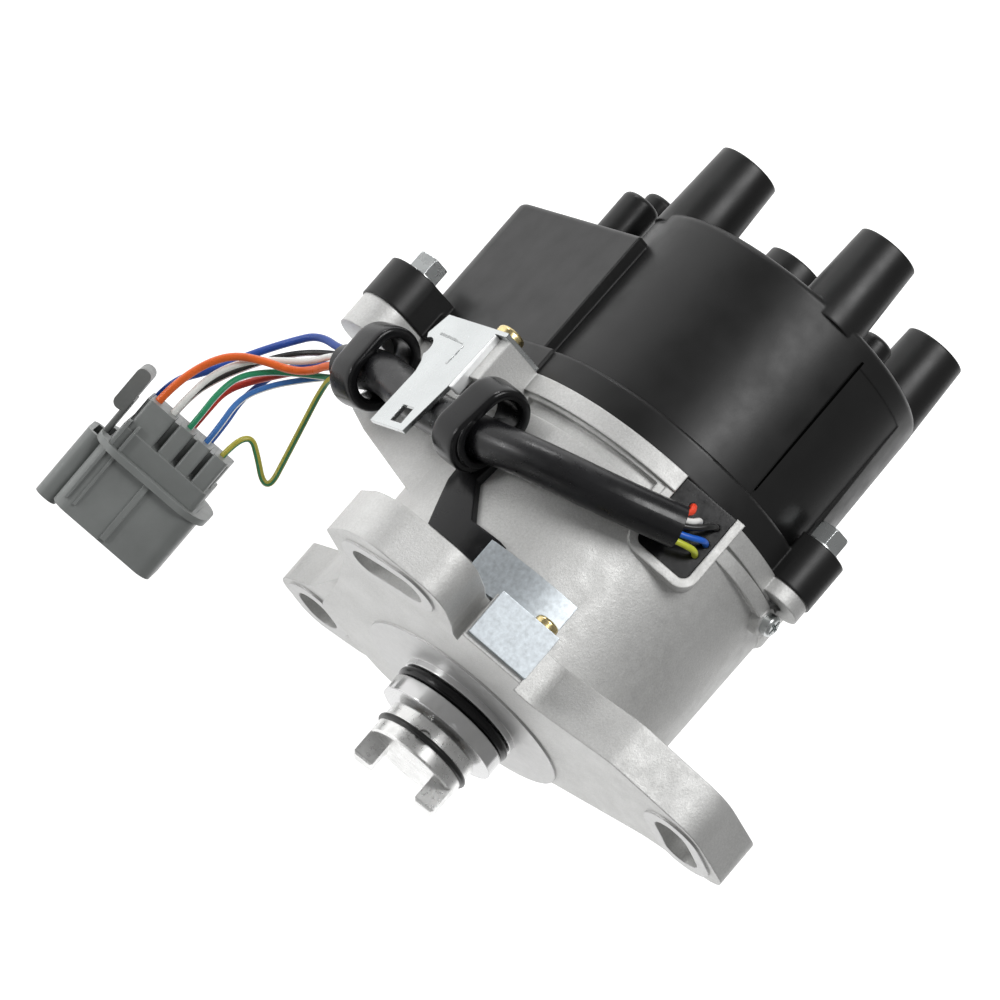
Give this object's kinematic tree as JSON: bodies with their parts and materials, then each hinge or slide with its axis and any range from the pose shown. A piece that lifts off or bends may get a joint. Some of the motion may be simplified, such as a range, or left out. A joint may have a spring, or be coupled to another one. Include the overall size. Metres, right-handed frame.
{
  "type": "ignition distributor",
  "caption": "Cast aluminium ignition distributor: slotted flange, O-ring pilot, dog coupling, black moulded cap with lead towers, integral coil box and a short pigtail with a grey plug.",
  "frame": {"origin": "centre of the mounting face on the shaft's axis, where the pilot meets the flange", "axes": "+X along the shaft from the engine towards the cap's towers, +Z away from the coil box, +Y towards the side with the harness"},
  "size_m": [0.1707, 0.1368, 0.184],
  "materials": {
    "cast_aluminium": "sand cast, matte",
    "moulded_black": "semi-gloss moulding",
    "zinc_bright": "bright zinc plate",
    "zinc_yellow": "yellow zinc plate",
    "plain_steel": "machined",
    "bearing_steel": "ground",
    "sintered_bronze": "sintered",
    "laminated_iron": "laminated",
    "contact_brass": "stamped",
    "black_rubber": "smooth",
    "sleeve_black": "semi-gloss vinyl",
    "bundle_black": "matte",
    "inner_black": "moulded",
    "rotor_brown": "moulded phenolic",
    "carbon": "graphite",
    "connector_grey": "moulded",
    "latch_dark": "moulded",
    "lead_colours": "vinyl, one colour for each lead",
    "vinyl_blue": "vinyl",
    "vinyl_black_white": "vinyl with a white stripe",
    "vinyl_orange": "vinyl",
    "vinyl_white": "vinyl",
    "vinyl_green_white": "vinyl with a white stripe",
    "vinyl_red": "vinyl",
    "vinyl_blue_white": "vinyl with a white stripe",
    "vinyl_yellow_green": "vinyl with a green stripe"
  },
  "bodies": {
    "body": {"housing": "cast_aluminium", "cap": "moulded_black", "cap_bolts": "zinc_bright", "cap_bolt_washers": "zinc_bright", "bracket_upper": "zinc_bright", "bracket_lower": "zinc_bright", "bracket_screws": "zinc_yellow", "housing_screw": "zinc_yellow", "pilot_o_ring": "black_rubber", "grommet": "black_rubber", "clip_front": "black_rubber", "clip_rear": "black_rubber", "cap_gasket": "black_rubber", "oil_seal": "black_rubber", "harness_sleeve": "sleeve_black", "harness_core": "bundle_black", "grommet_leads": "lead_colours", "bearing_outer_race": "bearing_steel", "bearing_snap_ring": "plain_steel", "shaft_bush": "sintered_bronze", "crank_pickup": "inner_black", "dead_centre_pickup": "inner_black", "cylinder_pickup": "inner_black", "pickup_plate": "plain_steel", "pickup_plate_screws": "zinc_yellow", "compartment_screws": "zinc_yellow", "ignition_coil": "inner_black", "coil_core": "laminated_iron", "igniter_module": "inner_black", "inner_cover": "inner_black", "tower_terminals": "contact_brass", "brush_spring": "plain_steel", "high_tension_strip": "contact_brass", "connector_shell": "connector_grey", "connector_holder": "connector_grey", "connector_terminals": "contact_brass", "wire_blue": "vinyl_blue", "wire_black_white": "vinyl_black_white", "wire_blue_thin": "vinyl_blue", "wire_red": "vinyl_red", "wire_white": "vinyl_white", "wire_orange": "vinyl_orange", "wire_green_white": "vinyl_green_white", "wire_blue_white": "vinyl_blue_white", "wire_yellow_green": "vinyl_yellow_green"},
    "rotating_shaft": {"shaft": "plain_steel", "crank_wheel": "plain_steel", "dead_centre_wheel": "plain_steel", "cylinder_wheel": "plain_steel", "bearing_inner_race": "bearing_steel", "coupling_pin": "plain_steel", "rotor": "rotor_brown", "rotor_contact": "contact_brass", "rotor_screw": "zinc_yellow"},
    "coupling": {"drive_coupling": "plain_steel", "coupling_ring_spring": "plain_steel"},
    "ball_cage": {"bearing_cage": "contact_brass", "bearing_balls": "bearing_steel"},
    "centre_brush": {"carbon_brush": "carbon"},
    "latch_lever": {"connector_latch": "latch_dark"}
  },
  "joints": [
    {"name": "shaft_turn", "type": "hinge", "parent": "body", "child": "rotating_shaft", "pos_m": [0, 0, 0], "axis": [1, 0, 0], "continuous": true},
    {"name": "coupling_rock", "type": "hinge", "parent": "rotating_shaft", "child": "coupling", "pos_m": [-0.01505, 0, 0], "axis": [0, 0.6428, 0.766], "range_deg": [-2, 2]},
    {"name": "ball_cage_turn", "type": "hinge", "parent": "body", "child": "ball_cage", "pos_m": [0.023, 0, 0], "axis": [1, 0, 0], "continuous": true},
    {"name": "brush_slide", "type": "slide", "parent": "body", "child": "centre_brush", "axis": [1, 0, 0], "range_m": [0, 0.003], "stiffness_N_per_m": 60, "springref_m": -0.004, "deforming": ["brush_spring"]},
    {"name": "latch_press", "type": "hinge", "parent": "body", "child": "latch_lever", "pos_m": [0.00129, 0.06747, -0.09874], "axis": [0.4384, -0.4588, -0.7728], "range_deg": [0, 6], "stiffness_Nm_per_rad": 0.05, "springref_deg": -1.15}
  ],
  "couplings": [
    {"joint": "ball_cage_turn", "follows": "shaft_turn", "ratio": 0.381}
  ]
}
